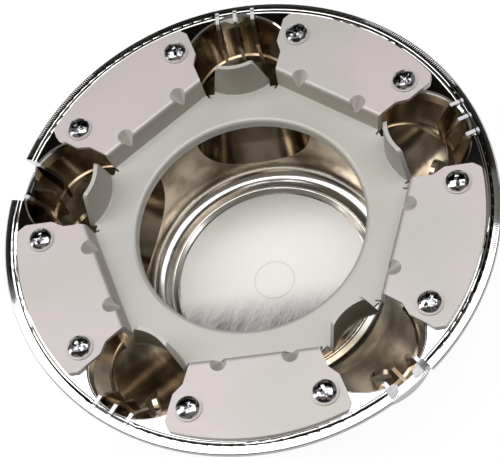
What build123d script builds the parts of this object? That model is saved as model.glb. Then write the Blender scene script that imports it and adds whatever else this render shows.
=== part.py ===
from build123d import *

import os
from math import cos, radians, sin, sqrt, tan

# A chromed wheel centre cap for a wheel with five lugs, seen and modelled from its mounting side.
# It lies on its flat front face: z = 0 is that face, +Z points to the mounting side, and the Z axis
# is the axle line. A lug pocket lies at 90 degrees and every 72 degrees from there, and a tab of
# the steel retainer lies halfway between two pockets. All lengths are in millimetres.

# Overall sizes
lugs = 5
first_pocket_angle = 90.0
tab_height = 61.3
rim_radius = 93.0
skin = 2.6
sheet = 1.5
cut_over = 4.0

# Steel retainer
hub_hole_radius = 43.4
ring_depth = 8.6
ring_apothem = 55.4
ring_corner_apothem = 58.0
ring_slit = 0.8
collar_height = 4.0
collar_round = 1.8
collar_plate_radius = 48.0
wall_lean = 1.4
bend_radius = 0.5
tab_outer_radius = 87.5
tab_corner_half_width = 31.6
tab_corner_reach = 81.5
tab_side_half_width = 32.8
tab_side_reach = 78.0
tab_waist_half_width = 29.6
tab_waist_reach = 68.2
tab_neck_half_width = 25.8
tab_neck_reach = 64.8
tab_root_half_width = 22.6
corner_round = 1.8
waist_round = 0.7
dent_offset = 12.9
dent_foot_reach = 56.2
dent_foot_height = 4.1
dent_foot_radius = 0.4
dent_slope = 72.0
dent_taper = 29.0
lip_centre_radius = 76.3
lip_base_radius = 20.1
lip_height = 16.4
lip_lean = 1.4
lip_base_half_width = 10.9
lip_top_half_width = 7.0
lip_corner_round = 1.6
relief_offset = 12.2
relief_reach = 59.6
relief_radius = 1.3

# Screws
screw_circle_radius = 78.0
screw_half_angle = 18.0
screw_head_radius = 4.2
screw_head_height = 2.7
screw_flange_radius = 4.9
screw_flange_height = 0.7
screw_crown_radius = 2.9
screw_crown_level = 2.25
screw_core_radius = 1.6
screw_length = 9.5
screw_point_length = 2.5
cross_span = 5.8
cross_width = 1.5
cross_depth = 1.9
cross_taper = 10.0
cross_entry = 0.3
first_cross_turn = 12.0
cross_turn_step = 37.0
pilot_clearance = 0.05
tab_hole_clearance = 0.5
pilot_spare_depth = 1.0
boss_wall = 3.6

# Cap rim
plateau_radius = 88.1
bead_width = 1.1
bead_height = 0.25
groove_width = 0.5
groove_depth = 0.5
land_width = 0.7
land_height = 0.12
band_drop = 0.15
edge_chamfer = 0.5
rim_wall_height = 3.0
rim_lower_inset = 1.2

# Cap front
cone_angle = 45.0
dome_shoulder_radius = 54.5
dome_face_radius = 50.4
dome_edge_round = 2.0

# Bowl behind the dome
bowl_floor_radius = 38.2
floor_dish = 1.2
floor_groove_width = 2.4
floor_groove_depth = 0.8
floor_bead_width = 1.4
floor_bead_height = 0.4
bowl_foot_radius = 48.4
bowl_foot_round = 5.0
bowl_top_radius = 56.0
ring_clearance = 0.5
wall_clearance = 0.4
floor_mark_radius = 8.2
floor_mark_width = 0.3
floor_mark_depth = 0.15

# Lug pockets
mouth_centre_radius = 66.3
mouth_radius = 21.8
mouth_edge = 0.5
throat_level = 53.7
throat_centre_radius = 66.0
throat_radius = 21.4
ledge_level = 41.8
ledge_centre_radius = 61.6
ledge_radius = 20.6
ledge_width = 1.2
trough_start_radius = 50.0
trough_start_level = 10.75
trough_entry = 1.0
trough_angle = 39.5
trough_length = 50.0
trough_hub_radius = 25.0
trough_end_radius = 18.5
mark_place_radius = 72.5
mark_radius = 5.6
mark_height = 0.9
fin_spacing = 7.0
fin_thickness = 1.4
fin_inner_radius = 79.2
fin_shoulder_radius = 85.4
fin_shoulder_level = 51.2
fin_proud = 0.5
fin_root = 0.9
bump_reach = 12.0
bump_radius = 24.2
bump_wall_level = 47.5
bump_foot_level = 42.5

# Rim notches, at two of the pockets
notch_half_angle = 5.6
notch_level = 53.7
notch_reach = 87.6
notch_pockets = [1, 3]

# Recesses below the tabs
recess_outer_radius = 82.0
recess_inner_radius = 65.0

# Levels and places worked out from the sizes above
plateau_level = tab_height - sheet
ring_level = tab_height - ring_depth
hub_wall_level = ring_level - sheet - ring_clearance
pocket_step = 360.0 / lugs
first_tab_angle = first_pocket_angle + pocket_step / 2
lower_centre_radius = ledge_centre_radius - ledge_width / 2
lower_radius = ledge_radius - ledge_width / 2
wall_top_apothem = ring_apothem + wall_lean
plateau_apothem = wall_top_apothem + sheet + wall_clearance
cone_slope = tan(radians(cone_angle))
rim_lower_radius = rim_radius - rim_lower_inset
rim_lower_level = plateau_level - rim_wall_height
dome_shoulder_level = rim_lower_level - (rim_lower_radius - dome_shoulder_radius) * cone_slope
bead_outer = plateau_radius + bead_width
groove_outer = bead_outer + groove_width
land_outer = groove_outer + land_width
bead_start_radius = bowl_floor_radius + floor_groove_width
dish_radius = (bowl_floor_radius**2 + floor_dish**2) / (2 * floor_dish)
fin_top_level = plateau_level + bead_height + fin_proud
pilot_depth = screw_length - sheet + pilot_spare_depth
mark_distance = (mark_place_radius - trough_start_radius) / cos(radians(trough_angle))


def on_pockets():
    """The pocket directions, for a shape that is modelled along +X."""
    return PolarLocations(0, lugs, start_angle=first_pocket_angle)


def on_tabs():
    """The tab directions, for a shape that is modelled along +X."""
    return PolarLocations(0, lugs, start_angle=first_tab_angle)


def trough_plane(distance, drop):
    """A section plane of the sloping trough, at a distance along its bottom line.

    Its origin lies on the bottom line, lowered by drop; its x axis is the trough's width and its
    y axis points up, square to the bottom line.
    """
    slope = radians(trough_angle)
    out = trough_start_radius + distance * cos(slope) + drop * sin(slope)
    up = trough_start_level + distance * sin(slope) - drop * cos(slope)
    return Plane(origin=(out, 0, up), x_dir=(0, 1, 0), z_dir=(cos(slope), 0, sin(slope)))


def build_trough(grow):
    """The U-shaped trough from the bowl up to the pocket's outer wall, grown all round by grow."""
    with BuildPart() as trough:
        for distance, radius in (
            (-grow - trough_entry, trough_hub_radius),
            (trough_length, trough_end_radius),
        ):
            with BuildSketch(trough_plane(distance, grow)):
                with Locations((0, radius + grow)):
                    Circle(radius + grow)
                with Locations((0, radius + grow)):
                    Rectangle(2 * (radius + grow), tab_height, align=(Align.CENTER, Align.MIN))
        loft(ruled=True)
    return trough.part


def build_pocket(grow, top, hub_reach):
    """One lug pocket along +X: its cavity with grow 0, or the shell's outside with grow skin."""
    with BuildPart() as upper:
        with BuildSketch(Plane.XY.offset(ledge_level - grow)):
            with Locations((ledge_centre_radius, 0)):
                Circle(ledge_radius + grow)
        with BuildSketch(Plane.XY.offset(throat_level)):
            with Locations((throat_centre_radius, 0)):
                Circle(throat_radius + grow)
        with BuildSketch(Plane.XY.offset(plateau_level)):
            with Locations((mouth_centre_radius, 0)):
                Circle(mouth_radius + grow)
        loft(ruled=True)
    with BuildPart() as lower:
        with BuildSketch(Plane.XY):
            with Locations((lower_centre_radius, 0)):
                Circle(lower_radius + grow)
        extrude(amount=ledge_level - grow)
        with BuildSketch(Plane.XY):
            with Locations((lower_centre_radius, 0)):
                Rectangle(hub_reach, 4 * trough_hub_radius, align=(Align.MAX, Align.CENTER))
        extrude(amount=top)
        add(build_trough(grow), mode=Mode.INTERSECT)
    with BuildPart() as pocket:
        add(upper.part)
        add(lower.part)
    return pocket.part


def build_dents(grow):
    """The two tapered gussets of one tab along +X, grown all round by grow."""
    slope = radians(dent_slope)
    length = (ring_depth - dent_foot_height + cut_over) / sin(slope)
    foot_radius = dent_foot_radius + grow / cos(radians(dent_taper))
    with BuildPart() as dents:
        for side in (-1, 1):
            foot = Plane(
                origin=(dent_foot_reach, side * dent_offset, ring_level + dent_foot_height),
                x_dir=(0, 1, 0),
                z_dir=(cos(slope), 0, sin(slope)),
            )
            with Locations(foot):
                Cone(
                    bottom_radius=foot_radius,
                    top_radius=foot_radius + length * tan(radians(dent_taper)),
                    height=length,
                    align=(Align.CENTER, Align.CENTER, Align.MIN),
                )
    return dents.part


def round_corner(near, radius):
    """Rounds the corner of the open sketch that lies nearest to a point."""
    fillet(vertices(Select.ALL).sort_by_distance(Vertex(*near, 0))[0], radius=radius)


# Cap body

# One recess below a tab, between the pockets and around the two screw bosses
with BuildPart() as tab_recess:
    with BuildSketch(Plane.XY):
        Circle(recess_outer_radius)
        Circle(recess_inner_radius, mode=Mode.SUBTRACT)
        Rectangle(4 * rim_radius, 4 * rim_radius, align=(Align.MAX, Align.CENTER), mode=Mode.SUBTRACT)
        for side in (-1, 1):
            screw_angle = radians(side * screw_half_angle)
            with Locations((screw_circle_radius * cos(screw_angle), screw_circle_radius * sin(screw_angle))):
                Circle(screw_core_radius + pilot_clearance + boss_wall, mode=Mode.SUBTRACT)
    extrude(amount=tab_height)
    # the recess keeps the shell's thickness above the sloping front
    with BuildSketch(Plane.XZ):
        with BuildLine():
            Polyline(
                (dome_shoulder_radius, dome_shoulder_level + skin / cos(radians(cone_angle))),
                (rim_lower_radius, rim_lower_level + skin / cos(radians(cone_angle))),
                (rim_lower_radius, 2 * tab_height),
                (dome_shoulder_radius, 2 * tab_height),
                (dome_shoulder_radius, dome_shoulder_level + skin / cos(radians(cone_angle))),
            )
        make_face()
    revolve(axis=Axis.Z, mode=Mode.INTERSECT)

# The shell's outside: rim, sloping front and dome, as one turned shape
with BuildPart() as body:
    with BuildSketch(Plane.XZ):
        with BuildLine():
            Polyline(
                (0, plateau_level),
                (0, 0),
                (dome_face_radius, 0),
                (dome_shoulder_radius, dome_shoulder_level),
                (rim_lower_radius, rim_lower_level),
                (rim_radius, rim_lower_level + rim_lower_inset),
                (rim_radius, plateau_level - band_drop - edge_chamfer),
                (rim_radius - edge_chamfer, plateau_level - band_drop),
                (land_outer, plateau_level),
            )
            ThreePointArc(
                (land_outer, plateau_level),
                (land_outer - land_width / 2, plateau_level + land_height),
                (groove_outer, plateau_level),
            )
            Polyline(
                (groove_outer, plateau_level),
                (groove_outer - groove_width / 2, plateau_level - groove_depth),
                (bead_outer, plateau_level),
            )
            ThreePointArc(
                (bead_outer, plateau_level),
                (bead_outer - bead_width / 2, plateau_level + bead_height),
                (plateau_radius, plateau_level),
            )
            Line((plateau_radius, plateau_level), (0, plateau_level))
        make_face()
    revolve(axis=Axis.Z)
    dome_edge = body.edges().filter_by(GeomType.CIRCLE).sort_by(Axis.Z)[0]
    fillet(dome_edge, radius=dome_edge_round)

    # The hollows below the tabs, which leave two screw bosses in each
    with on_tabs():
        add(tab_recess.part, mode=Mode.SUBTRACT)

    # The rounded lug bumps on the front, which also wall the pockets off from the hollows
    bump = build_pocket(skin, ledge_level, bump_reach)
    with on_pockets():
        add(bump)

    # The bumps' round upper ends, upright below the rim and cone-shaped further down
    with PolarLocations(throat_centre_radius, lugs, start_angle=first_pocket_angle):
        with Locations((0, 0, bump_foot_level)):
            Cone(
                bottom_radius=bump_radius - (bump_wall_level - bump_foot_level),
                top_radius=bump_radius,
                height=bump_wall_level - bump_foot_level,
                align=(Align.CENTER, Align.CENTER, Align.MIN),
            )
        with Locations((0, 0, bump_wall_level)):
            Cylinder(
                bump_radius,
                rim_lower_level - bump_wall_level,
                align=(Align.CENTER, Align.CENTER, Align.MIN),
            )

    # The bowl behind the dome, with a groove and a bead around its floor
    with BuildSketch(Plane.XZ):
        with BuildLine():
            Line((0, plateau_level + cut_over), (0, skin - floor_dish))
            RadiusArc((0, skin - floor_dish), (bowl_floor_radius, skin), -dish_radius)
            Polyline(
                (bowl_floor_radius, skin),
                (bowl_floor_radius + floor_groove_width / 2, skin - floor_groove_depth),
                (bead_start_radius, skin),
            )
            ThreePointArc(
                (bead_start_radius, skin),
                (bead_start_radius + floor_bead_width / 2, skin + floor_bead_height),
                (bead_start_radius + floor_bead_width, skin),
            )
            Polyline(
                (bead_start_radius + floor_bead_width, skin),
                (bowl_foot_radius, skin),
                (bowl_top_radius, hub_wall_level),
                (bowl_top_radius, plateau_level + cut_over),
                (0, plateau_level + cut_over),
            )
        make_face()
        round_corner((bowl_foot_radius, skin), bowl_foot_round)
    revolve(axis=Axis.Z, mode=Mode.SUBTRACT)

    # A fine circle on the bowl's floor
    with BuildSketch(Plane.XY.offset(skin)):
        Circle(floor_mark_radius)
        Circle(floor_mark_radius - floor_mark_width, mode=Mode.SUBTRACT)
    extrude(amount=-floor_dish - floor_mark_depth, mode=Mode.SUBTRACT)

# The three fins on a pocket's outer wall, modelled as strips that end inside the shell
trough_slope = tan(radians(trough_angle))
fin_foot_level = trough_start_level + (fin_inner_radius - trough_start_radius) * trough_slope - fin_root
wall_foot_radius = lower_centre_radius + lower_radius + fin_root
wall_foot_level = trough_start_level + (wall_foot_radius - trough_start_radius) * trough_slope - fin_root
with BuildPart() as fins:
    with BuildSketch(Plane.XZ) as fin_side:
        with BuildLine():
            Polyline(
                (fin_inner_radius, fin_foot_level),
                (fin_inner_radius, fin_shoulder_level),
                (fin_shoulder_radius, fin_top_level),
                (land_outer, fin_top_level),
                (land_outer, rim_lower_level + rim_lower_inset),
                (throat_centre_radius + throat_radius + fin_root, throat_level),
                (wall_foot_radius, ledge_level),
                (wall_foot_radius, wall_foot_level),
                (fin_inner_radius, fin_foot_level),
            )
        make_face()
    for place in (-fin_spacing, 0, fin_spacing):
        with Locations((0, place, 0)):
            add(extrude(fin_side.sketch, amount=fin_thickness / 2, both=True, mode=Mode.PRIVATE))

# One rim notch along +X, a wedge of the wheel's turn cut out of the rim down to a flat floor
with BuildPart() as notch:
    with BuildSketch(Plane.XY.offset(notch_level)):
        with BuildLine():
            Polyline(
                (0, 0),
                (2 * rim_radius, 2 * rim_radius * tan(radians(notch_half_angle))),
                (2 * rim_radius, -2 * rim_radius * tan(radians(notch_half_angle))),
                (0, 0),
            )
        make_face()
        Circle(notch_reach, mode=Mode.SUBTRACT)
    extrude(amount=tab_height)
    with BuildSketch(Plane.XY.offset(notch_level)):
        Rectangle(2 * rim_radius, fin_spacing, align=(Align.MIN, Align.CENTER))
    extrude(amount=tab_height)

# The open space of one lug pocket, with a softened mouth edge and a low round mark on its floor
with BuildPart() as pocket_space:
    add(build_pocket(0, plateau_level + cut_over, lower_centre_radius))
    with Locations((mouth_centre_radius, 0, plateau_level - mouth_edge)):
        Cone(
            bottom_radius=mouth_radius,
            top_radius=mouth_radius + 2 * mouth_edge,
            height=2 * mouth_edge,
            align=(Align.CENTER, Align.CENTER, Align.MIN),
        )
    with Locations(trough_plane(mark_distance, 0).rotated((90, 0, 0))):
        Cylinder(mark_radius, 2 * mark_height, mode=Mode.SUBTRACT)

with body:
    with on_pockets():
        add(pocket_space.part, mode=Mode.SUBTRACT)

    # room for the sunk pentagonal ring of the retainer
    with BuildSketch(Plane.XY.offset(hub_wall_level)):
        RegularPolygon(plateau_apothem, lugs, major_radius=False, rotation=first_tab_angle)
    extrude(amount=tab_height, mode=Mode.SUBTRACT)
    dent_room = build_dents(sheet + wall_clearance)
    with on_tabs():
        add(dent_room, mode=Mode.SUBTRACT)

    # the fins, and the two notches that cut the rim and the middle fin
    with on_pockets():
        add(fins.part)
    for pocket in notch_pockets:
        with PolarLocations(0, 1, start_angle=first_pocket_angle + pocket * pocket_step):
            add(notch.part, mode=Mode.SUBTRACT)

    # the screws' pilot holes, down from the plateau
    with BuildSketch(Plane.XY.offset(plateau_level)):
        for side in (-1, 1):
            with PolarLocations(screw_circle_radius, lugs, start_angle=first_tab_angle + side * screw_half_angle):
                Circle(screw_core_radius + pilot_clearance)
    extrude(amount=-pilot_depth, mode=Mode.SUBTRACT)

# Steel retainer

# The side view of ring, wall and tab, bent from one sheet, along +X
bend_outer = bend_radius + sheet
with BuildPart() as tab:
    with BuildSketch(Plane.XZ):
        with BuildLine():
            Polyline(
                (collar_plate_radius, ring_level),
                (collar_plate_radius, ring_level - sheet),
                (ring_apothem + sheet, ring_level - sheet),
                (wall_top_apothem + sheet, plateau_level),
                (tab_outer_radius, plateau_level),
                (tab_outer_radius, tab_height),
                (wall_top_apothem, tab_height),
                (ring_apothem, ring_level),
                (collar_plate_radius, ring_level),
            )
        make_face()
        round_corner((ring_apothem, ring_level), bend_radius)
        round_corner((ring_apothem + sheet, ring_level - sheet), bend_outer)
        round_corner((wall_top_apothem + sheet, plateau_level), bend_radius)
        round_corner((wall_top_apothem, tab_height), bend_outer)
    extrude(amount=2 * tab_side_half_width, both=True)
    # the tab's outline, seen from above
    with BuildSketch(Plane.XY) as outline:
        with BuildLine():
            Polyline(
                (tab_corner_reach, tab_corner_half_width),
                (tab_side_reach, tab_side_half_width),
                (tab_waist_reach, tab_waist_half_width),
                (tab_neck_reach, tab_neck_half_width),
                (ring_apothem, tab_root_half_width),
                (0, tab_root_half_width),
                (0, -tab_root_half_width),
                (ring_apothem, -tab_root_half_width),
                (tab_neck_reach, -tab_neck_half_width),
                (tab_waist_reach, -tab_waist_half_width),
                (tab_side_reach, -tab_side_half_width),
                (tab_corner_reach, -tab_corner_half_width),
            )
            ThreePointArc(
                (tab_corner_reach, -tab_corner_half_width),
                (tab_outer_radius, 0),
                (tab_corner_reach, tab_corner_half_width),
            )
        make_face()
        for reach, half_width, radius in (
            (tab_corner_reach, tab_corner_half_width, corner_round),
            (tab_side_reach, tab_side_half_width, corner_round),
            (tab_waist_reach, tab_waist_half_width, waist_round),
            (tab_neck_reach, tab_neck_half_width, waist_round),
        ):
            for side in (-1, 1):
                round_corner((reach, side * half_width), radius)
    extrude(amount=tab_height, mode=Mode.INTERSECT)

# The sheet behind a tab's two gussets, which follows the bend's rounded face
with BuildPart() as gussets:
    with BuildSketch(Plane.XZ):
        with BuildLine():
            Polyline(
                (ring_apothem, ring_level),
                (wall_top_apothem, tab_height),
                (tab_waist_reach, tab_height),
                (tab_waist_reach, ring_level),
                (ring_apothem, ring_level),
            )
        make_face()
        round_corner((wall_top_apothem, tab_height), bend_outer)
    extrude(amount=tab_side_half_width, both=True)
    add(build_dents(sheet), mode=Mode.INTERSECT)
with tab:
    add(gussets.part)
    add(build_dents(0), mode=Mode.SUBTRACT)

# One inner lip along +X, bent up from the ring's round corner cut as part of a leaning cone
lip_face_radius = lip_centre_radius - lip_base_radius
lip_top_level = ring_level + lip_height
lip_tilt = lip_lean / lip_height
lip_width = sheet * sqrt(1 + lip_tilt**2)
with BuildPart() as lip:
    with BuildSketch(Plane.XZ):
        with BuildLine():
            Polyline(
                (lip_face_radius - bend_outer, ring_level),
                (lip_face_radius, ring_level),
                (lip_face_radius + lip_lean, lip_top_level),
                (lip_face_radius + lip_lean + lip_width, lip_top_level),
                (lip_face_radius + lip_width - sheet * lip_tilt, ring_level - sheet),
                (lip_face_radius - bend_outer, ring_level - sheet),
                (lip_face_radius - bend_outer, ring_level),
            )
        make_face()
        round_corner((lip_face_radius, ring_level), bend_radius)
    revolve(axis=Axis((lip_centre_radius, 0, 0), (0, 0, 1)))
    with BuildSketch(Plane.YZ):
        with BuildLine():
            Polyline(
                (-lip_base_half_width, ring_level - sheet),
                (lip_base_half_width, ring_level - sheet),
                (lip_base_half_width, ring_level),
                (lip_top_half_width, lip_top_level),
                (-lip_top_half_width, lip_top_level),
                (-lip_base_half_width, ring_level),
                (-lip_base_half_width, ring_level - sheet),
            )
        make_face()
        for side in (-1, 1):
            round_corner((side * lip_top_half_width, lip_top_level), lip_corner_round)
    extrude(amount=lip_centre_radius, mode=Mode.INTERSECT)

with BuildPart() as retainer:
    # the flat ring with a slit beside each tab's wall and its five round corner cuts
    with BuildSketch(Plane.XY.offset(ring_level - sheet)):
        RegularPolygon(ring_corner_apothem, lugs, major_radius=False, rotation=first_tab_angle)
        with PolarLocations(ring_apothem - bend_outer, lugs, start_angle=first_tab_angle):
            Rectangle(
                ring_corner_apothem,
                2 * (tab_root_half_width + ring_slit),
                align=(Align.MIN, Align.CENTER),
                mode=Mode.SUBTRACT,
            )
        Circle(collar_plate_radius, mode=Mode.SUBTRACT)
        with PolarLocations(lip_centre_radius, lugs, start_angle=first_pocket_angle):
            Circle(lip_base_radius, mode=Mode.SUBTRACT)
        with on_pockets():
            with Locations((relief_reach, relief_offset), (relief_reach, -relief_offset)):
                Circle(relief_radius, mode=Mode.SUBTRACT)
    extrude(amount=sheet)

    # the hub hole's edge, turned down into a short collar
    with BuildSketch(Plane.XZ):
        with BuildLine():
            Polyline(
                (hub_hole_radius, ring_level),
                (collar_plate_radius, ring_level),
                (collar_plate_radius, ring_level - sheet),
                (hub_hole_radius + sheet, ring_level - sheet),
                (hub_hole_radius + sheet, ring_level - collar_height),
                (hub_hole_radius, ring_level - collar_height),
                (hub_hole_radius, ring_level),
            )
        make_face()
        round_corner((hub_hole_radius, ring_level), collar_round)
    revolve(axis=Axis.Z)

    with on_tabs():
        add(tab.part)
    with on_pockets():
        add(lip.part)

    # the screw holes in the tabs
    with BuildSketch(Plane.XY.offset(tab_height)):
        for side in (-1, 1):
            with PolarLocations(screw_circle_radius, lugs, start_angle=first_tab_angle + side * screw_half_angle):
                Circle(screw_core_radius + tab_hole_clearance)
    extrude(amount=-sheet, mode=Mode.SUBTRACT)

# Screws

# One pan-head screw with a flange and a cross recess, upright on z = 0 below its head
with BuildPart() as screw:
    with BuildSketch(Plane.XZ):
        with BuildLine():
            Polyline(
                (0, -screw_length),
                (screw_core_radius, screw_point_length - screw_length),
                (screw_core_radius, 0),
                (screw_flange_radius, 0),
                (screw_flange_radius, screw_flange_height),
                (screw_head_radius, screw_flange_height),
                (screw_head_radius, screw_head_height / 2),
            )
            ThreePointArc(
                (screw_head_radius, screw_head_height / 2),
                (screw_crown_radius, screw_crown_level),
                (0, screw_head_height),
            )
            Line((0, screw_head_height), (0, -screw_length))
        make_face()
    revolve(axis=Axis.Z)
    with BuildSketch(Plane.XY.offset(screw_head_height + cross_entry)):
        Rectangle(cross_span, cross_width)
        Rectangle(cross_width, cross_span)
    extrude(amount=-cross_depth - cross_entry, taper=cross_taper, mode=Mode.SUBTRACT)

# Labels and files
os.makedirs("parts", exist_ok=True)
body.part.label = "cap_body"
export_step(body.part, "parts/cap_body.step")
retainer.part.label = "retainer"
export_step(retainer.part, "parts/retainer.step")
for number in range(2 * lugs):
    side = 2 * (number % 2) - 1
    angle = first_tab_angle + (number // 2) * pocket_step + side * screw_half_angle
    seat = Pos(screw_circle_radius * cos(radians(angle)), screw_circle_radius * sin(radians(angle)), tab_height)
    placed = seat * Rot(0, 0, first_cross_turn + number * cross_turn_step) * screw.part
    placed.label = f"screw_{number + 1:02d}"
    export_step(placed, f"parts/screw_{number + 1:02d}.step")
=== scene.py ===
# %% [markdown]
# # A chromed wheel centre cap, seen from its mounting side
#
# The cap lies face down on a pale floor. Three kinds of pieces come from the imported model: the plated
# cap body, the stamped steel retainer and ten small screws. This lesson gives each of them a
# procedural material, adds the fine teeth around the rim with Geometry Nodes, and then places the
# floor, the lamps and the camera. All lengths are in metres.

from math import cos, pi, radians, sin

import bmesh
import bpy
from mathutils import Matrix, Vector


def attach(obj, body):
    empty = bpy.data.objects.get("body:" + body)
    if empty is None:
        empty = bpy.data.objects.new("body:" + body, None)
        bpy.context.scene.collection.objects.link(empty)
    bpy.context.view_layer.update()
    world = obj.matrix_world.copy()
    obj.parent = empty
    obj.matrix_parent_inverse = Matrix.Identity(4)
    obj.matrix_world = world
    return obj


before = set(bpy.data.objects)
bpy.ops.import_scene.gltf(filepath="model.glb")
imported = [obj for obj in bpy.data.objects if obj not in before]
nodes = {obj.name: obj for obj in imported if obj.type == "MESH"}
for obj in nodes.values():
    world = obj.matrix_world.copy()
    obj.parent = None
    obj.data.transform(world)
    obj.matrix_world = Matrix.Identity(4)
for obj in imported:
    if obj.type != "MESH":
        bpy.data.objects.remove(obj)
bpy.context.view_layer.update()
print("pieces of the packed model:", sorted(nodes))

# %% [markdown]
# ## Helpers for node trees
#
# A finish is a tree of nodes. It could be put together by hand in the shader editor, but a lesson that
# is read and run again has to write it down. These helpers add a node and feed its sockets, so that
# the later cells hold little more than the values of each finish.


# %% Nodes and what feeds them
def add_node(tree, kind, **values):
    """A new node with some of its properties set."""
    node = tree.nodes.new(kind)
    for key, value in values.items():
        setattr(node, key, value)
    return node


def feed(tree, value, socket):
    """Give a socket another node's output, an RGB colour or a number."""
    if isinstance(value, bpy.types.NodeSocket):
        tree.links.new(value, socket)
    elif isinstance(value, tuple):
        socket.default_value = (*value, 1.0)
    else:
        socket.default_value = value


def new_material(name):
    """An empty node material with its output node."""
    material = bpy.data.materials.new(name)
    material.use_nodes = True
    tree = material.node_tree
    tree.nodes.clear()
    output = tree.nodes.new("ShaderNodeOutputMaterial")
    return material, tree, output


print("helpers that build a tree:", [h.__name__ for h in (add_node, feed, new_material)])

# %% [markdown]
# ## Masks
#
# A mask is a number that is 1 on one part of a surface and 0 on the rest. It could be an image painted
# over the part, but a mask worked out from numbers stays sharp at any size. Each helper here returns
# the output socket of its node, so one line can use the result of the line before it.


# %% Numbers and masks
def math_node(tree, operation, a, b):
    """A Math node on two sockets or numbers."""
    node = add_node(tree, "ShaderNodeMath", operation=operation)
    feed(tree, a, node.inputs[0])
    feed(tree, b, node.inputs[1])
    return node.outputs[0]


def product(tree, first, *others):
    """All the values multiplied. For masks it is 1 only where each of them is 1."""
    for other in others:
        first = math_node(tree, "MULTIPLY", first, other)
    return first


def total(tree, first, *others):
    """All the values added."""
    for other in others:
        first = math_node(tree, "ADD", first, other)
    return first


def larger(tree, first, *others):
    """The largest of the values. For masks it is 1 where any of them is 1."""
    for other in others:
        first = math_node(tree, "MAXIMUM", first, other)
    return first


def opposite(tree, mask):
    """A mask turned round."""
    return math_node(tree, "SUBTRACT", 1.0, mask)


print("helpers for numbers:", [h.__name__ for h in (math_node, product, total, larger, opposite)])

# %% [markdown]
# ## Limits, ramps and mixes
#
# A limit makes a hard edge, where one real finish ends at an edge of the solid. A ramp makes a soft one,
# and may also run downwards, from a high value to a low one. A mix then lays one colour over another
# where a mask says so. A Color Ramp node could do two of these at once, but its stops are hard to read
# in a script.

# %% Edges and layers
MIX_SOCKETS = {"FLOAT": (2, 3, 0), "RGBA": (6, 7, 2)}  # a Mix node's two inputs and its result


def above(tree, value, limit):
    """1 where a value is over a limit."""
    return math_node(tree, "GREATER_THAN", value, limit)


def below(tree, value, limit):
    """1 where a value is under a limit."""
    return math_node(tree, "LESS_THAN", value, limit)


def between(tree, value, low, high):
    """1 where a value lies between two limits."""
    return product(tree, above(tree, value, low), below(tree, value, high))


def ramp(tree, value, start, end):
    """A smooth step from 0 at the start to 1 at the end."""
    node = add_node(tree, "ShaderNodeMapRange", interpolation_type="SMOOTHSTEP")
    feed(tree, value, node.inputs["Value"])
    feed(tree, start, node.inputs["From Min"])
    feed(tree, end, node.inputs["From Max"])
    return node.outputs["Result"]


def mix(tree, factor, a, b, kind="RGBA"):
    """Colour or number a where the factor is 0, and b where it is 1."""
    first, second, result = MIX_SOCKETS[kind]
    node = add_node(tree, "ShaderNodeMix", data_type=kind)
    feed(tree, factor, node.inputs["Factor"])
    feed(tree, a, node.inputs[first])
    feed(tree, b, node.inputs[second])
    return node.outputs[result]


print("kinds of mix:", sorted(MIX_SOCKETS))

# %% [markdown]
# ## Clouds for wear and painted reflections
#
# Metal that has been handled is never quite even: it has soft clouds and fine specks. They could be
# painted on each piece, but a noise on Object coordinates needs no picture and stays in place on the
# part. All three materials use it, so it is built once as a node group, and each of them places it
# with its own scale. The same clouds also hold painted reflections: the brown patches in the cap's
# hollows and the dark spots on the screw heads.

# %% Clouds and specks
SPECKS_PER_CLOUD = 22.0


def make_group(name, inputs, outputs):
    """An empty shader group with float inputs and outputs."""
    group = bpy.data.node_groups.new(name, "ShaderNodeTree")
    for label, value in inputs.items():
        socket = group.interface.new_socket(label, in_out="INPUT", socket_type="NodeSocketFloat")
        socket.default_value = value
    for label in outputs:
        group.interface.new_socket(label, in_out="OUTPUT", socket_type="NodeSocketFloat")
    return group, group.nodes.new("NodeGroupInput"), group.nodes.new("NodeGroupOutput")


clouds_and_specks, clouds_in, clouds_out = make_group("fine_clouds", {"Scale": 60.0}, ["Cloud", "Speck"])
coords = add_node(clouds_and_specks, "ShaderNodeTexCoord")
speck_scale = product(clouds_and_specks, clouds_in.outputs["Scale"], SPECKS_PER_CLOUD)
for label, scale, detail in (("Cloud", clouds_in.outputs["Scale"], 3.0), ("Speck", speck_scale, 4.0)):
    noise = add_node(clouds_and_specks, "ShaderNodeTexNoise", noise_dimensions="3D")
    noise.inputs["Detail"].default_value = detail
    clouds_and_specks.links.new(coords.outputs["Object"], noise.inputs["Vector"])
    clouds_and_specks.links.new(scale, noise.inputs["Scale"])
    clouds_and_specks.links.new(noise.outputs["Fac"], clouds_out.inputs[label])
print("nodes in the fine wear:", len(clouds_and_specks.nodes))

# %% [markdown]
# ## Brush lines
#
# The bowl's floor and the steel sheet show fine parallel lines. Real grooves would need millions of
# faces and are far too shallow to matter. So a noise is turned and then squeezed across the lines. The
# angle and the scale are the group's inputs, because the lines of the two pieces run differently.

# %% Streaks
STREAK_SQUEEZE = (0.09, 1.0, 0.4)  # long along X, narrow along Y

streaks, streaks_in, streaks_out = make_group("streaks", {"Angle": 0.0, "Scale": 900.0}, ["Lines"])
coords = add_node(streaks, "ShaderNodeTexCoord")
turn = add_node(streaks, "ShaderNodeVectorRotate", rotation_type="Z_AXIS")
squeeze = add_node(streaks, "ShaderNodeMapping")
squeeze.inputs["Scale"].default_value = STREAK_SQUEEZE
lines = add_node(streaks, "ShaderNodeTexNoise", noise_dimensions="3D")
lines.inputs["Detail"].default_value = 4.0
streaks.links.new(coords.outputs["Object"], turn.inputs["Vector"])
streaks.links.new(streaks_in.outputs["Angle"], turn.inputs["Angle"])
streaks.links.new(turn.outputs["Vector"], squeeze.inputs["Vector"])
streaks.links.new(squeeze.outputs["Vector"], lines.inputs["Vector"])
streaks.links.new(streaks_in.outputs["Scale"], lines.inputs["Scale"])
streaks.links.new(lines.outputs["Fac"], streaks_out.inputs["Lines"])
print("nodes in the streaks:", len(streaks.nodes))

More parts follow.
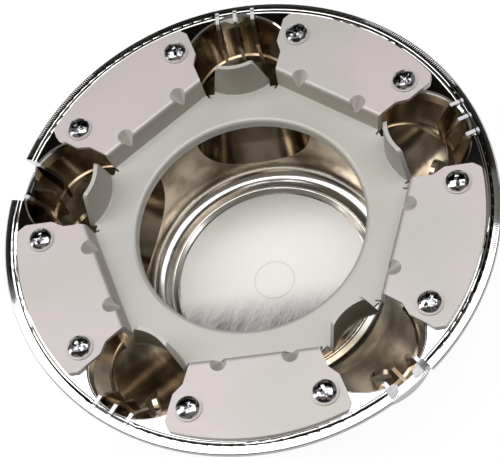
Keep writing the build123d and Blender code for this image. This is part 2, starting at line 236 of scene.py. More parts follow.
# %% [markdown]
# ## Where a point lies around the axle line
#
# The whole cap is built around one line, the wheel's axle. Its faces could be sorted by hand, but the
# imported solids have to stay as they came. So this group works out where a point is: its distance from
# the axle line, its height, how far its face looks away from the line, and how far it looks up. The
# first two come from the place of the point, the other two from its normal.


# %% Around the axle
def flat_and_radius(tree, position):
    """A position without its height, and its distance from the axle line."""
    flat = add_node(tree, "ShaderNodeVectorMath", operation="MULTIPLY")
    flat.inputs[1].default_value = (1.0, 1.0, 0.0)
    length = add_node(tree, "ShaderNodeVectorMath", operation="LENGTH")
    tree.links.new(position, flat.inputs[0])
    tree.links.new(flat.outputs["Vector"], length.inputs[0])
    return flat.outputs["Vector"], length.outputs["Value"]


around, _, around_out = make_group("around_the_axle", {}, ["Radius", "Height", "Outward", "Up"])
coords = add_node(around, "ShaderNodeTexCoord")
flat, radius = flat_and_radius(around, coords.outputs["Object"])
place = add_node(around, "ShaderNodeSeparateXYZ")
tilt = add_node(around, "ShaderNodeSeparateXYZ")
away = add_node(around, "ShaderNodeVectorMath", operation="NORMALIZE")
facing = add_node(around, "ShaderNodeVectorMath", operation="DOT_PRODUCT")
around.links.new(coords.outputs["Object"], place.inputs["Vector"])
around.links.new(coords.outputs["Normal"], tilt.inputs["Vector"])
around.links.new(flat, away.inputs[0])
around.links.new(away.outputs["Vector"], facing.inputs[0])
around.links.new(coords.outputs["Normal"], facing.inputs[1])
around.links.new(radius, around_out.inputs["Radius"])
around.links.new(place.outputs["Z"], around_out.inputs["Height"])
around.links.new(facing.outputs["Value"], around_out.inputs["Outward"])
around.links.new(tilt.outputs["Z"], around_out.inputs["Up"])
print("groups:", [g.name for g in bpy.data.node_groups])

# %% [markdown]
# ## The cap's plated plastic
#
# The cap is moulded in plastic and plated with chrome. One plain mirror would be quick, but the real cap
# isn't the same all over: its rim is bright, its pockets and the bowl's wall look warmer and darker, and
# the bowl's floor is satin. It is one piece with one slot, so one material holds all of these looks, with
# painted reflections and painted shade in the hollows, and masks choose between them.


# %% A metal, and a group inside it
def group_node(tree, group, **values):
    """A shared effect placed in a material, with its own values."""
    node = add_node(tree, "ShaderNodeGroup", node_tree=group)
    for key, value in values.items():
        node.inputs[key].default_value = value
    return node


def metal(name):
    """A metal material with its shader linked to the output."""
    material, tree, output = new_material(name)
    shader = add_node(tree, "ShaderNodeBsdfPrincipled")
    shader.inputs["Metallic"].default_value = 1.0
    tree.links.new(shader.outputs["BSDF"], output.inputs["Surface"])
    return material, tree, shader


chrome, tree, chrome_shader = metal("chrome_plate")
print("material:", chrome.name)

# %% [markdown]
# ## The parts of the cap as masks
#
# Seen from the mounting side, the cap has a flat plateau at the rim, five pockets and a bowl below it,
# a flat floor in the bowl, two notches with a ledge in the rim, and fins whose crests stand a little
# above the plateau. Their heights and distances from the axle line tell them apart. Only the outside,
# the cap's front, needs the normal as well: it runs close behind the walls of the pockets, and there
# a face that looks outwards or down is the front. The height and the distance come from plain nodes in
# the material itself, because the floor's mask also sets the strength of a bump later on.

# %% Masks of the bowl's floor, the hollows and the front
PLATEAU_LEVEL = 0.0598
FLOOR_EDGE = 0.0383
FLOOR_LOWEST, FLOOR_HIGHEST = 0.0010, 0.0032
HOLLOW_START, HOLLOW_FULL = 0.0006, 0.0022  # how far below the plateau the hollows' look comes in
RIM_START, RIM_FULL = 0.0905, 0.0912
NOTCH_LEVEL, NOTCH_INNER = 0.0537, 0.0886
LEDGE_MARGIN, LEDGE_DEPTH = 0.0010, 0.0002
FRONT_OUTWARD, FRONT_RADIUS = 0.45, 0.0625
FRONT_UP = -0.12
EDGE_BAND = 0.0004

coords = add_node(tree, "ShaderNodeTexCoord")
place = add_node(tree, "ShaderNodeSeparateXYZ")
tree.links.new(coords.outputs["Object"], place.inputs["Vector"])
height = place.outputs["Z"]
_, radius = flat_and_radius(tree, coords.outputs["Object"])
spot = group_node(tree, around)

in_floor = product(tree, below(tree, radius, FLOOR_EDGE),
                   between(tree, height, FLOOR_LOWEST, FLOOR_HIGHEST))
crest = above(tree, height, PLATEAU_LEVEL + EDGE_BAND)
looks_out = product(tree, above(tree, spot.outputs["Outward"], FRONT_OUTWARD),
                    above(tree, radius, FRONT_RADIUS))
looks_down = below(tree, spot.outputs["Up"], FRONT_UP)
front = product(tree, larger(tree, looks_out, looks_down), below(tree, height, PLATEAU_LEVEL - EDGE_BAND))
on_ledge = product(tree, above(tree, radius, NOTCH_INNER - LEDGE_MARGIN),
                   above(tree, height, NOTCH_LEVEL - LEDGE_DEPTH))
hollow = product(
    tree,
    ramp(tree, height, PLATEAU_LEVEL - HOLLOW_START, PLATEAU_LEVEL - HOLLOW_FULL),
    opposite(tree, ramp(tree, radius, RIM_START, RIM_FULL)),
    opposite(tree, on_ledge),
    opposite(tree, front),
)
print("nodes behind the masks:", len(tree.nodes))

# %% [markdown]
# ## Painted reflections and shade in the hollows
#
# Down in the pockets and the bowl, a mirror sees mostly itself and the room around it, so the plating
# looks brown in patches. A model of that room could be reflected, but it isn't known, and it wouldn't
# go along with the part into another scene. So these reflections are painted into the plating's colour:
# clouds between a light and a dark brown, a band of painted shade high on the bowl's wall, a band of
# painted light at its foot that fades out towards -Y, and half dark painted shade in the throats, where
# the pockets open into the bowl.

# %% Painted reflections and shade of the hollows
# Painted reflections: clouds between these two browns stand for what the chrome reflects in the hollows.
REFLECTION_PALE, REFLECTION_DARK = (0.76, 0.66, 0.52), (0.20, 0.15, 0.10)
PATCH_LIGHT, PATCH_DARK = 0.34, 0.62
BOWL_RADIUS = 0.0565
# A band of painted shade high on the bowl's wall.
HIGH_WALL = (0.018, 0.040)
HIGH_WALL_PAINTED_SHADE = (0.11, 0.085, 0.055)
# A band of painted light at the foot of the bowl's wall, which fades out towards -Y.
WALL_FOOT = (0.0085, 0.0045)
WALL_FOOT_Y = (-0.034, -0.020)  # the pale foot fades out towards -Y
WALL_FOOT_PAINTED_LIGHT = (0.84, 0.82, 0.79)
# Painted shade in the throats, where the pockets open into the bowl.
THROAT_OUTER, THROAT_INNER = (0.0720, 0.0600), (0.0555, 0.0570)
THROAT_HEIGHTS = (0.045, 0.030)
THROAT_SHADE = 0.5
THROAT_PAINTED_SHADE = (0.12, 0.09, 0.06)

patches = group_node(tree, clouds_and_specks, Scale=46.0)
in_bowl = below(tree, radius, BOWL_RADIUS)
high_wall = product(tree, in_bowl, ramp(tree, height, *HIGH_WALL))
wall_foot = product(tree, in_bowl, ramp(tree, height, *WALL_FOOT),
                    ramp(tree, place.outputs["Y"], *WALL_FOOT_Y))
in_throat = product(tree, ramp(tree, radius, *THROAT_OUTER), ramp(tree, radius, *THROAT_INNER),
                    ramp(tree, height, *THROAT_HEIGHTS), THROAT_SHADE)

painted_light_and_shade = mix(tree, ramp(tree, patches.outputs["Cloud"], PATCH_LIGHT, PATCH_DARK), REFLECTION_PALE, REFLECTION_DARK)
painted_light_and_shade = mix(tree, high_wall, painted_light_and_shade, HIGH_WALL_PAINTED_SHADE)
painted_light_and_shade = mix(tree, wall_foot, painted_light_and_shade, WALL_FOOT_PAINTED_LIGHT)
painted_light_and_shade = mix(tree, in_throat, painted_light_and_shade, THROAT_PAINTED_SHADE)
print("band high on the bowl's wall, from and to in mm:", [round(1000 * z, 1) for z in HIGH_WALL])

# %% [markdown]
# ## The colours of the plating
#
# Each layer is laid over the one before it, as a painter would: first the bright rim, then the painted
# reflections and shade of the hollows, the nearly white floor of the bowl, the plain grey front, and the
# painted highlight on the fins' crests. Separate materials on separate faces would need the faces to be
# cut along each edge. Masks need no cut.

# %% Rim, hollows, floor, front and crests
RIM_CHROME = (0.86, 0.86, 0.86)
FLOOR_PALE = (0.97, 0.955, 0.93)
FRONT_GREY = (0.70, 0.70, 0.75)
# A painted highlight on the fins' crests.
CREST_HIGHLIGHT_GREY = (0.90, 0.90, 0.94)

base = mix(tree, hollow, RIM_CHROME, painted_light_and_shade)
base = mix(tree, in_floor, base, FLOOR_PALE)
base = mix(tree, front, base, FRONT_GREY)
base = mix(tree, crest, base, CREST_HIGHLIGHT_GREY)
print("brightest and darkest layer:", max(FLOOR_PALE), min(REFLECTION_DARK))

# %% [markdown]
# ## Painted shade on the bowl's floor
#
# At one side of the bowl's floor the real satin looks darker in slanting strokes; here that darkening
# is painted shade. A dark lamp or a shadow could do that from one view only. Here two sets of brush
# lines at one angle, fine strokes and wide ones, break up the painted shade, and a ramp towards -Y makes
# it darker towards that side. The fine strokes are kept in `brush`, because the gloss and the bump use the
# same lines.

# %% Strokes of painted shade
STROKE_ANGLE = radians(-56.0)
# Painted shade on the bowl's floor: darker towards -Y, broken up by slanting brush strokes.
FLOOR_SHADE_Y = (-0.002, -0.021)
FLOOR_SHADE_EVEN, FLOOR_SHADE_FINE, FLOOR_SHADE_WIDE = 0.35, 0.45, 0.20
FINE_STROKES, WIDE_STROKES = (0.25, 0.75), (0.30, 0.70)
FLOOR_SHADE_BROWN = (0.05, 0.045, 0.04)

brush = group_node(tree, streaks, Angle=STROKE_ANGLE, Scale=3200.0)
wide_brush = group_node(tree, streaks, Angle=STROKE_ANGLE, Scale=330.0)
floor_shade = total(
    tree,
    product(tree, ramp(tree, brush.outputs["Lines"], *FINE_STROKES), FLOOR_SHADE_FINE),
    product(tree, ramp(tree, wide_brush.outputs["Lines"], *WIDE_STROKES), FLOOR_SHADE_WIDE),
    FLOOR_SHADE_EVEN,
)
floor_shade = product(tree, in_floor, ramp(tree, place.outputs["Y"], *FLOOR_SHADE_Y), floor_shade)
base = mix(tree, floor_shade, base, FLOOR_SHADE_BROWN)
print("grime gathers from y = %.0f mm to %.0f mm" % (1000 * FLOOR_SHADE_Y[0], 1000 * FLOOR_SHADE_Y[1]))

# %% [markdown]
# ## The fine circle and the rim's groove
#
# A fine circle is cut in the middle of the bowl's floor, and a narrow groove runs around the rim. Both
# are in the solids already. In a mirror a shallow cut alone would catch too little dark, so painted
# shade fills them: a light brown in the circle and a nearly black one in the groove.

# %% Painted shade in the two cuts
# Painted shade in the fine circle on the bowl's floor.
FINE_CIRCLE_BAND = (0.0078, 0.0083)
FINE_CIRCLE_SHADE = 0.22
FINE_CIRCLE_SHADE_BROWN = (0.40, 0.33, 0.24)
# Painted shade in the rim's groove, nearly black.
GROOVE_BAND = (0.0892, 0.0897)
GROOVE_DEPTH = 0.0006
GROOVE_SHADE = 0.95
GROOVE_SHADE_BLACK = (0.01, 0.01, 0.01)

fine_line = product(tree, between(tree, radius, *FINE_CIRCLE_BAND), in_floor, FINE_CIRCLE_SHADE)
in_groove = product(tree, between(tree, radius, *GROOVE_BAND),
                    above(tree, height, PLATEAU_LEVEL - GROOVE_DEPTH), GROOVE_SHADE)
base = mix(tree, fine_line, base, FINE_CIRCLE_SHADE_BROWN)
base = mix(tree, in_groove, base, GROOVE_SHADE_BLACK)
tree.links.new(base, chrome_shader.inputs["Base Color"])
print("width of the groove in mm:", round(1000 * (GROOVE_BAND[1] - GROOVE_BAND[0]), 2))

# %% [markdown]
# ## How glossy the plating is
#
# Chrome is nearly a mirror, with a trace of specks. The hollows are a little softer, the front and the
# crests softer still, and the bowl's floor is satin. The floor, the front and the crests are also less
# metallic, so that they stay light where they have little to reflect. The brush lines are a bump on
# the floor only. They could be a bump everywhere with a height that ends at the floor's edge, but
# that step would show as a line, so the mask sets the bump's strength instead.

# %% Roughness, metallic and bump of the chrome
MIRROR, MIRROR_SPECKS = 0.03, 0.04
HOLLOW_SOFTER, FRONT_SOFTER = 0.13, 0.20
SATIN, SATIN_LINES = 0.38, 0.16
FLOOR_UNMETAL, FRONT_UNMETAL, CREST_UNMETAL = 0.5, 0.7, 0.8
LINES_STRENGTH, LINES_DEPTH = 0.55, 0.00005


def add_bump(tree, shader, relief, strength, distance):
    """A bump whose height is the relief, in a shader's normal."""
    bump = add_node(tree, "ShaderNodeBump")
    feed(tree, relief, bump.inputs["Height"])
    feed(tree, strength, bump.inputs["Strength"])
    feed(tree, distance, bump.inputs["Distance"])
    tree.links.new(bump.outputs["Normal"], shader.inputs["Normal"])


cloud_layer = group_node(tree, clouds_and_specks, Scale=45.0)
gloss = total(
    tree,
    MIRROR,
    product(tree, cloud_layer.outputs["Speck"], MIRROR_SPECKS),
    product(tree, hollow, HOLLOW_SOFTER),
    product(tree, larger(tree, front, crest), FRONT_SOFTER),
)
satin = total(tree, SATIN, product(tree, brush.outputs["Lines"], SATIN_LINES))
tree.links.new(mix(tree, in_floor, gloss, satin, kind="FLOAT"), chrome_shader.inputs["Roughness"])
unmetal = larger(tree, product(tree, in_floor, FLOOR_UNMETAL), product(tree, front, FRONT_UNMETAL),
                 product(tree, crest, CREST_UNMETAL))
tree.links.new(opposite(tree, unmetal), chrome_shader.inputs["Metallic"])
add_bump(tree, chrome_shader, brush.outputs["Lines"],
         strength=product(tree, in_floor, LINES_STRENGTH), distance=LINES_DEPTH)
print("nodes in the chrome:", len(tree.nodes))

# %% [markdown]
# ## The retainer's satin steel
#
# The retainer is stamped from steel sheet. Its tabs stand highest and catch a little more light than the
# ring below them, and both are mottled. The backs of the lips and the walls on the hub side show dark
# reflections. As in the pockets, these could be left to the surroundings, but they would be lost in
# another scene. So they are painted into the colour: painted light on the tabs, which follows the height,
# and painted dark reflections on the lips' backs and the hub-side walls, which follow the way a face looks.

# %% Colours of the steel sheet
TAB_LEVEL = 0.0613
TAB_START, TAB_FULL, TAB_TOP = 0.0012, 0.0002, 0.0002
MOTTLE = (0.35, 0.65)
# The tabs get lighter colours than the ring: painted light, because they stand highest.
RING_PALE, RING_DARK = (0.60, 0.58, 0.56), (0.54, 0.535, 0.49)
LIT_TAB_PALE, LIT_TAB_DARK = (0.70, 0.62, 0.635), (0.60, 0.585, 0.55)
WALL_LOWEST = 0.0532
# Painted dark reflections on the backs of the lips.
LIP_BACK_OUTWARD, LIP_RADIUS = (0.15, 0.35), 0.0720
LIP_BACK_PAINTED_REFLECTION = (0.28, 0.25, 0.21)
# Painted dark reflections on the walls that face the hub.
HUB_SIDE_OUTWARD = (-0.35, -0.65)
HUB_SIDE_PAINTED_REFLECTION = (0.43, 0.405, 0.365)

steel, tree, steel_shader = metal("steel_sheet")
cloud_layer = group_node(tree, clouds_and_specks, Scale=14.0)
spot = group_node(tree, around)
mottle = ramp(tree, cloud_layer.outputs["Cloud"], *MOTTLE)
on_tab = product(tree, ramp(tree, spot.outputs["Height"], TAB_LEVEL - TAB_START, TAB_LEVEL - TAB_FULL),
                 below(tree, spot.outputs["Height"], TAB_LEVEL + TAB_TOP))
on_wall = above(tree, spot.outputs["Height"], WALL_LOWEST)
lip_back = product(tree, ramp(tree, spot.outputs["Outward"], *LIP_BACK_OUTWARD),
                   below(tree, spot.outputs["Radius"], LIP_RADIUS), on_wall)
hub_side = product(tree, ramp(tree, spot.outputs["Outward"], *HUB_SIDE_OUTWARD), on_wall)

base = mix(tree, on_tab, mix(tree, mottle, RING_PALE, RING_DARK), mix(tree, mottle, LIT_TAB_PALE, LIT_TAB_DARK))
base = mix(tree, lip_back, base, LIP_BACK_PAINTED_REFLECTION)
base = mix(tree, hub_side, base, HUB_SIDE_PAINTED_REFLECTION)
print("tabs at a height of", round(1000 * TAB_LEVEL, 1), "mm")

# %% [markdown]
# ## The grain of the steel
#
# Rolling leaves a faint grain in the sheet. It shows in the colour, in the gloss and as a very shallow
# relief, so one set of streaks feeds all three. The steel is only partly metallic here: fully metallic
# flat faces would turn dark wherever the room above them is dark, and the real ones are a soft grey.

# %% Grain, gloss and relief of the steel sheet
GRAIN_SHARE, GRAIN_GREY = 0.18, (0.62, 0.60, 0.58)
STEEL_ROUGH, STEEL_ROUGH_GRAIN = 0.42, 0.12
STEEL_METALLIC = 0.3

grain = group_node(tree, streaks, Angle=radians(12.0), Scale=700.0)
base = mix(tree, product(tree, grain.outputs["Lines"], GRAIN_SHARE), base, GRAIN_GREY)
rough = total(tree, STEEL_ROUGH, product(tree, grain.outputs["Lines"], STEEL_ROUGH_GRAIN))
tree.links.new(base, steel_shader.inputs["Base Color"])
tree.links.new(rough, steel_shader.inputs["Roughness"])
steel_shader.inputs["Metallic"].default_value = STEEL_METALLIC
add_bump(tree, steel_shader, grain.outputs["Lines"], strength=0.12, distance=0.00003)
print("nodes in the steel sheet:", len(tree.nodes))

# %% [markdown]
# ## The screws' bright steel
#
# A screw has a domed head with a cross recess, and a thin flange under it. The head is bright and full
# of small dark reflections, the flange is dull. Two materials could be used, but each screw is one solid
# with one slot, so the height tells the flange from the head. The dark spots are painted reflections:
# clouds that are small against the head, and the same clouds dent it slightly.

# %% Head and flange
FLANGE_TOP = 0.06205
# Painted reflections on the head: clouds between bright and nearly black.
SPOTS = (0.42, 0.58)
HEAD_REFLECTION_BRIGHT, HEAD_REFLECTION_DARK = (0.88, 0.88, 0.90), (0.10, 0.10, 0.11)
FLANGE_GREY = (0.64, 0.60, 0.59)
HEAD_ROUGH, HEAD_ROUGH_SPECKS = 0.06, 0.10
FLANGE_SOFTER, FLANGE_UNMETAL = 0.36, 0.7

screw_steel, tree, screw_shader = metal("screw_steel")
cloud_layer = group_node(tree, clouds_and_specks, Scale=420.0)
flange = below(tree, group_node(tree, around).outputs["Height"], FLANGE_TOP)
base = mix(tree, ramp(tree, cloud_layer.outputs["Cloud"], *SPOTS), HEAD_REFLECTION_BRIGHT, HEAD_REFLECTION_DARK)
base = mix(tree, flange, base, FLANGE_GREY)
rough = total(tree, HEAD_ROUGH, product(tree, cloud_layer.outputs["Speck"], HEAD_ROUGH_SPECKS),
              product(tree, flange, FLANGE_SOFTER))
tree.links.new(base, screw_shader.inputs["Base Color"])
tree.links.new(rough, screw_shader.inputs["Roughness"])
tree.links.new(opposite(tree, product(tree, flange, FLANGE_UNMETAL)), screw_shader.inputs["Metallic"])
add_bump(tree, screw_shader, cloud_layer.outputs["Cloud"], strength=0.3, distance=0.00012)
print("materials:", [m.name for m in bpy.data.materials])

# %% [markdown]
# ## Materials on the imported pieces
#
# The cap, the retainer and the ten screws are three kinds of stock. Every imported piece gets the
# material of its kind in its one slot. The screws all share one material, so they are picked by being
# neither of the other two.

# %% Give each piece its material
looks = {"cap_body": chrome, "retainer": steel}
for name, piece in nodes.items():
    piece.data.materials.clear()
    piece.data.materials.append(looks.get(name, screw_steel))
print("pieces with a material:", len(nodes))

# %% [markdown]
# ## One fine tooth
#
# The rim's sloping edge and the floor of its two notches glitter in fine dots on the real cap. Here
# they are fine teeth, about 0.8 mm apart. They could be a bump, but at the rim's outline a bump lies
# flat. So one tooth is made as a small ridge along X with sloping sides. It has only 12 points, because
# it is repeated hundreds of times.

# %% A ridge with sloping sides
SHOULDER = 0.45  # how far down the sides start to slope, as a share of the height
CREST_WIDTH = 0.4  # the flat top, as a share of the width


def make_tooth(name, length, width, height):
    """A ridge along X whose top lies at a height of 0."""
    mesh = bpy.data.meshes.new(name)
    work = bmesh.new()
    outline = (
        (-width / 2, -height), (width / 2, -height), (width / 2, -height * SHOULDER),
        (width * CREST_WIDTH / 2, 0.0), (-width * CREST_WIDTH / 2, 0.0), (-width / 2, -height * SHOULDER),
    )
    near, far = ([work.verts.new((x, y, z)) for y, z in outline] for x in (-length / 2, length / 2))
    work.faces.new(near)
    work.faces.new(list(reversed(far)))
    for k in range(len(near)):
        after = (k + 1) % len(near)
        work.faces.new((near[k], far[k], far[after], near[after]))
    bmesh.ops.recalc_face_normals(work, faces=work.faces)
    work.to_mesh(mesh)
    work.free()
    piece = bpy.data.objects.new(name, mesh)
    bpy.context.scene.collection.objects.link(piece)
    return piece


TEETH_COUNT = 690
TEETH_INNER, TEETH_OUTER = 0.0910, 0.0922
NOTCH_OUTER = 0.0906
TOOTH_SHARE = 0.62  # of the pitch; the rest is the gap to the next tooth

pitch = 2 * pi * TEETH_INNER / TEETH_COUNT
tooth_width = TOOTH_SHARE * pitch
rim_tooth = make_tooth("rim_tooth", length=TEETH_OUTER - TEETH_INNER, width=tooth_width, height=0.0002)
notch_tooth = make_tooth("notch_tooth", length=NOTCH_OUTER - NOTCH_INNER, width=tooth_width, height=0.0003)
print("pitch and width of a tooth in mm:", round(1000 * pitch, 2), round(1000 * tooth_width, 2))

# %% [markdown]
# ## A node group that repeats the tooth
#
# The teeth stand evenly around the rim, like marks on a dial. A loop could copy the mesh hundreds of
# times, but Geometry Nodes do it from a few inputs that can be changed at any time. The inputs are
# the tooth, how many there are, the radius and the level of their circle, the directions of the two
# notches, how wide a notch is, and whether the teeth stand in the notches or outside them.

# %% Inputs of the group
teeth = bpy.data.node_groups.new("teeth_on_a_circle", "GeometryNodeTree")
teeth.interface.new_socket("Geometry", in_out="OUTPUT", socket_type="NodeSocketGeometry")
teeth_inputs = {}
for label, kind in (
    ("Tooth", "Object"),
    ("Count", "Int"),
    ("Radius", "Float"),
    ("Level", "Float"),
    ("Notch A", "Vector"),
    ("Notch B", "Vector"),
    ("Notch Cosine", "Float"),
    ("In Notches", "Bool"),
    ("Material", "Material"),
):
    socket = teeth.interface.new_socket(label, in_out="INPUT", socket_type="NodeSocket" + kind)
    teeth_inputs[label] = socket.identifier
entry = teeth.nodes.new("NodeGroupInput")
leave = teeth.nodes.new("NodeGroupOutput")
link = teeth.links.new
print("inputs of the teeth:", sorted(teeth_inputs))

# %% [markdown]
# ## The circle and which of its points hold a tooth
#
# A mesh circle has one point for each place, lifted to its level. A point is in a notch where its
# direction is close to that of the notch, which the dot product of the two directions tells. The
# points could also be deleted, but as a selection the same group serves both kinds of teeth.

# %% Points, directions and selection
ring = add_node(teeth, "GeometryNodeMeshCircle")
offset = add_node(teeth, "ShaderNodeCombineXYZ")
lift = add_node(teeth, "GeometryNodeSetPosition")
spot = add_node(teeth, "GeometryNodeInputPosition")
flat = add_node(teeth, "ShaderNodeVectorMath", operation="MULTIPLY")
flat.inputs[1].default_value = (1.0, 1.0, 0.0)
direction = add_node(teeth, "ShaderNodeVectorMath", operation="NORMALIZE")
link(entry.outputs["Count"], ring.inputs["Vertices"])
link(entry.outputs["Radius"], ring.inputs["Radius"])
link(entry.outputs["Level"], offset.inputs["Z"])
link(ring.outputs["Mesh"], lift.inputs["Geometry"])
link(offset.outputs["Vector"], lift.inputs["Offset"])
link(spot.outputs["Position"], flat.inputs[0])
link(flat.outputs["Vector"], direction.inputs[0])

in_a_notch = add_node(teeth, "FunctionNodeBooleanMath", operation="OR")
for slot, name in enumerate(("Notch A", "Notch B")):
    dot = add_node(teeth, "ShaderNodeVectorMath", operation="DOT_PRODUCT")
    close = add_node(teeth, "FunctionNodeCompare", data_type="FLOAT", operation="GREATER_THAN")
    link(direction.outputs["Vector"], dot.inputs[0])
    link(entry.outputs[name], dot.inputs[1])
    link(dot.outputs["Value"], close.inputs[0])
    link(entry.outputs["Notch Cosine"], close.inputs[1])
    link(close.outputs["Result"], in_a_notch.inputs[slot])
choose = add_node(teeth, "FunctionNodeBooleanMath", operation="XNOR")
link(in_a_notch.outputs["Boolean"], choose.inputs[0])
link(entry.outputs["In Notches"], choose.inputs[1])
print("nodes that choose the points:", len(teeth.nodes))

# %% [markdown]
# ## Copies that face the axle line
#
# Each tooth points straight out from the axle line, like a spoke. Instance on Points sets the copies
# down, and a rotation that turns X to the point's own direction faces them outwards. The copies are
# then made real, because the export drops instances, and get their material in the same tree.

# %% Instances made real
outward = add_node(teeth, "FunctionNodeAlignRotationToVector", axis="X")
info = add_node(teeth, "GeometryNodeObjectInfo")
copies = add_node(teeth, "GeometryNodeInstanceOnPoints")
real = add_node(teeth, "GeometryNodeRealizeInstances")
paint = add_node(teeth, "GeometryNodeSetMaterial")
link(direction.outputs["Vector"], outward.inputs["Vector"])
link(entry.outputs["Tooth"], info.inputs["Object"])
link(lift.outputs["Geometry"], copies.inputs["Points"])
link(choose.outputs["Boolean"], copies.inputs["Selection"])
link(info.outputs["Geometry"], copies.inputs["Instance"])
link(outward.outputs["Rotation"], copies.inputs["Rotation"])
link(copies.outputs["Instances"], real.inputs["Geometry"])
link(real.outputs["Geometry"], paint.inputs["Geometry"])
link(entry.outputs["Material"], paint.inputs["Material"])
link(paint.outputs["Geometry"], leave.inputs["Geometry"])
print("nodes that repeat a tooth:", len(teeth.nodes))

# %% [markdown]
# ## Setting the teeth out
#
# The same group runs twice: around the rim with the notches left out, and in the two notches only. The
# result could stay a live modifier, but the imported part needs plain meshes, so each run is turned into
# one mesh that rides on the cap's body. The rim's teeth stop just short of a notch, and the notches'
# teeth keep clear of its ends.

# %% Teeth on the rim and in the notches
NOTCH_ANGLES = (162.0, 306.0)
NOTCH_HALF_ANGLE = 5.6
RIM_CLEAR, NOTCH_CLEAR = 0.4, 0.6  # degrees left bare on each side of a notch's end
TEETH_SINK = 0.00003
NOTCH_TEETH_RISE = 0.0001


def direction_of(angle):
    """The direction of an angle in degrees, as seen from the axle line."""
    return (cos(radians(angle)), sin(radians(angle)), 0.0)


def teeth_ring(name, tooth, circle_radius, level, in_notches, half_angle):
    """A ring of teeth as one plain mesh, on the cap's body."""
    carrier = bpy.data.objects.new(name + "_maker", bpy.data.meshes.new(name + "_maker"))
    bpy.context.scene.collection.objects.link(carrier)
    repeat = carrier.modifiers.new("teeth", "NODES")
    repeat.node_group = teeth
    for label, value in {
        "Tooth": tooth,
        "Count": TEETH_COUNT,
        "Radius": circle_radius,
        "Level": level,
        "Notch A": direction_of(NOTCH_ANGLES[0]),
        "Notch B": direction_of(NOTCH_ANGLES[1]),
        "Notch Cosine": cos(radians(half_angle)),
        "In Notches": in_notches,
        "Material": chrome,
    }.items():
        repeat[teeth_inputs[label]] = value
    bpy.context.view_layer.update()
    seen = carrier.evaluated_get(bpy.context.evaluated_depsgraph_get())
    mesh = bpy.data.meshes.new_from_object(seen)
    mesh.name = name
    piece = bpy.data.objects.new(name, mesh)
    bpy.context.scene.collection.objects.link(piece)
    bpy.data.objects.remove(carrier)
    bpy.data.objects.remove(tooth)
    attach(piece, "root")
    return piece


rim_teeth = teeth_ring(
    "rim_teeth",
    rim_tooth,
    circle_radius=(TEETH_INNER + TEETH_OUTER) / 2,
    level=PLATEAU_LEVEL - TEETH_SINK,
    in_notches=False,
    half_angle=NOTCH_HALF_ANGLE + RIM_CLEAR,
)
notch_teeth = teeth_ring(
    "notch_teeth",
    notch_tooth,
    circle_radius=(NOTCH_INNER + NOTCH_OUTER) / 2,
    level=NOTCH_LEVEL + NOTCH_TEETH_RISE,
    in_notches=True,
    half_angle=NOTCH_HALF_ANGLE - NOTCH_CLEAR,
)
print("teeth faces:", len(rim_teeth.data.polygons), len(notch_teeth.data.polygons))

# %% [markdown]
# ## The pale floor
#
# The photograph shows the cap on plain white. A matt white floor under soft lamps would come out grey
# at its edges. So the camera sees mostly an even white glow, and the cap still gets the light that a
# matt pale floor throws back. The Light Path node tells the two apart, and mirrors see a mix of both.
# The floor is staged, which keeps it out of the part.

# %% Floor
FLOOR_SIZE, FLOOR_DROP = 8.0, 0.00005
FLOOR_MATT = (0.85, 0.85, 0.85)
FLOOR_GLOW, FLOOR_GLOW_SHARE, MIRROR_GLOW_SHARE = 1.08, 0.86, 0.6


def flat_card(name, width, height, matrix, material):
    """A flat card centred on a frame's XY plane."""
    mesh = bpy.data.meshes.new(name)
    corners = [(x * width / 2, y * height / 2, 0) for x, y in ((-1, -1), (1, -1), (1, 1), (-1, 1))]
    mesh.from_pydata([matrix @ Vector(c) for c in corners], [], [(0, 1, 2, 3)])
    card = bpy.data.objects.new(name, mesh)
    bpy.context.scene.collection.objects.link(card)
    mesh.materials.append(material)
    return card


def seen_directly(tree):
    """The Light Path node, and a mask of the rays that the camera sends, also through glass."""
    path = add_node(tree, "ShaderNodeLightPath")
    return path, larger(tree, path.outputs["Is Camera Ray"], path.outputs["Is Transmission Ray"])


def mix_shaders(tree, factor, first, second):
    """The first shader where the factor is 0, and the second where it is 1."""
    node = add_node(tree, "ShaderNodeMixShader")
    feed(tree, factor, node.inputs["Fac"])
    tree.links.new(first, node.inputs[1])
    tree.links.new(second, node.inputs[2])
    return node.outputs["Shader"]


floor_look, tree, output = new_material("pale_floor")
matt = add_node(tree, "ShaderNodeBsdfDiffuse")
feed(tree, FLOOR_MATT, matt.inputs["Color"])
glow = add_node(tree, "ShaderNodeEmission")
feed(tree, (1.0, 1.0, 1.0), glow.inputs["Color"])
feed(tree, FLOOR_GLOW, glow.inputs["Strength"])
path, direct = seen_directly(tree)
share = larger(tree, direct, product(tree, path.outputs["Is Glossy Ray"], MIRROR_GLOW_SHARE))
share = product(tree, share, FLOOR_GLOW_SHARE)
surface = mix_shaders(tree, share, matt.outputs["BSDF"], glow.outputs["Emission"])
tree.links.new(surface, output.inputs["Surface"])
floor = flat_card("floor", width=FLOOR_SIZE, height=FLOOR_SIZE,
                  matrix=Matrix.Translation((0, 0, -FLOOR_DROP)), material=floor_look)
print("stage:", floor.name)

# %% [markdown]
# ## A dark card
#
# Chrome looks like chrome only when it has something dark to reflect, such as the unlit side of a
# room. A whole room could be built, but one dark card behind the cap, out of the camera's view, gives
# the same split into bright and dark.

# %% Dark card
CENTRE = (0.0, 0.0, 0.05)
CARD_BLACK = (0.012, 0.011, 0.010)


def aimed(place, target):
    """A frame at a place whose -Z axis points at a target."""
    place = Vector(place)
    back = (place - Vector(target)).normalized()
    side = Vector((0, 0, 1)).cross(back)
    if side.length < 1e-4:  # straight down, where the cross product has no direction
        side = Vector((1, 0, 0))
    side.normalize()
    up = back.cross(side)
    matrix = Matrix((side, up, back)).transposed().to_4x4()
    matrix.translation = place
    return matrix


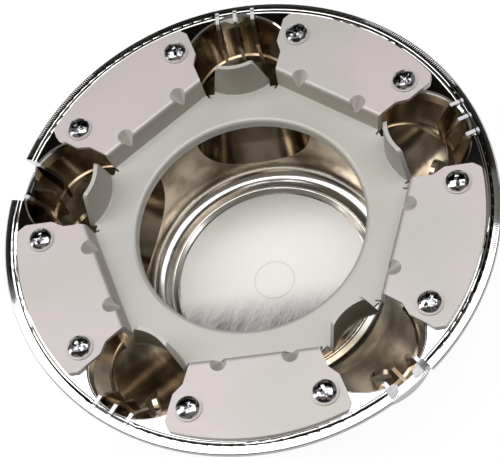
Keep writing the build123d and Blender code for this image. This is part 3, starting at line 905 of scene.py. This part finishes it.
dark_look, tree, output = new_material("dark_card")
cloth = add_node(tree, "ShaderNodeBsdfDiffuse")
feed(tree, CARD_BLACK, cloth.inputs["Color"])
tree.links.new(cloth.outputs["BSDF"], output.inputs["Surface"])
dark_card = flat_card("dark_card", width=2.6, height=0.95,
                      matrix=aimed(place=(-0.1, 1.05, 1.05), target=CENTRE), material=dark_look)
print("stage:", dark_card.name)

# %% [markdown]
# ## Soft lamps
#
# The photograph has no hard shadow, so its light is large and soft. A sun or a point lamp would put
# sharp dots in the chrome. One wide rectangle hangs over the cap, and a weaker and slightly warm one
# stands at its left, which lights the walls that face that way.


# %% Lamps
def soft_lamp(name, width, height, place, target, power, colour):
    """A rectangular soft lamp aimed at a target."""
    data = bpy.data.lights.new(name, "AREA")
    data.shape = "RECTANGLE"
    data.size = width
    data.size_y = height
    data.energy = power
    data.color = colour
    lamp = bpy.data.objects.new(name, data)
    lamp.matrix_world = aimed(place, target)
    bpy.context.scene.collection.objects.link(lamp)
    return lamp


overhead = soft_lamp("overhead", width=2.2, height=0.9, place=(0.0, 0.05, 1.15), target=(0.0, 0.051, 0.0),
                     power=14.3, colour=(1.0, 1.0, 1.0))
side_left = soft_lamp("side_left", width=0.5, height=1.2, place=(-1.4, -0.1, 0.7), target=CENTRE,
                      power=4.0, colour=(1.0, 0.97, 0.93))
print("lamps and their watts:", [(lamp.name, round(lamp.data.energy, 1)) for lamp in (overhead, side_left)])

# %% [markdown]
# ## The room around the cap
#
# Beyond the lamps the cap reflects a dim, warm room, which the world's background gives as one even
# colour. The camera itself should see white all around, as in the photograph, so the same Light Path
# mask as on the floor swaps the room for white there.

# %% World
ROOM_WARM, ROOM_LIGHT = (0.62, 0.57, 0.51), 0.24

world = bpy.data.worlds.new("studio")
bpy.context.scene.world = world
world.use_nodes = True
tree = world.node_tree
tree.nodes.clear()
output = add_node(tree, "ShaderNodeOutputWorld")
room = add_node(tree, "ShaderNodeBackground")
feed(tree, ROOM_WARM, room.inputs["Color"])
feed(tree, ROOM_LIGHT, room.inputs["Strength"])
open_white = add_node(tree, "ShaderNodeBackground")
feed(tree, (1.0, 1.0, 1.0), open_white.inputs["Color"])
_, direct = seen_directly(tree)
surface = mix_shaders(tree, direct, room.outputs["Background"], open_white.outputs["Background"])
tree.links.new(surface, output.inputs["Surface"])
print("world:", world.name)

# %% [markdown]
# ## Camera and colours
#
# The photograph was taken from in front of the cap and a little to its right, from high up. Its place
# and its three directions were worked out from the ten screws and the corners of the tabs. A camera
# could be aimed at a point instead, but then its roll would still have to be guessed. The colours are
# shown as they are rendered, with the plain Standard view.

# %% Camera
CAMERA_PLACE = (0.0868156, -0.2773703, 0.5694482)
CAMERA_RIGHT = (0.9799401, -0.0518687, -0.1924241)
CAMERA_UP = (0.13464566, 0.88415556, 0.44736952)
CAMERA_BACK = (0.14692836, -0.46430441, 0.87340339)
LENS_IN_MM, SENSOR_IN_MM = 114.807, 36.0

lens = bpy.data.cameras.new("camera")
lens.sensor_width = SENSOR_IN_MM
lens.lens = LENS_IN_MM
lens.clip_start = 0.01
camera = bpy.data.objects.new("camera", lens)
turned = Matrix((CAMERA_RIGHT, CAMERA_UP, CAMERA_BACK)).transposed().to_4x4()
turned.translation = Vector(CAMERA_PLACE)
camera.matrix_world = turned
bpy.context.scene.collection.objects.link(camera)
bpy.context.scene.camera = camera
bpy.context.scene.view_settings.view_transform = "Standard"
print("camera at", [round(v, 3) for v in camera.matrix_world.translation])
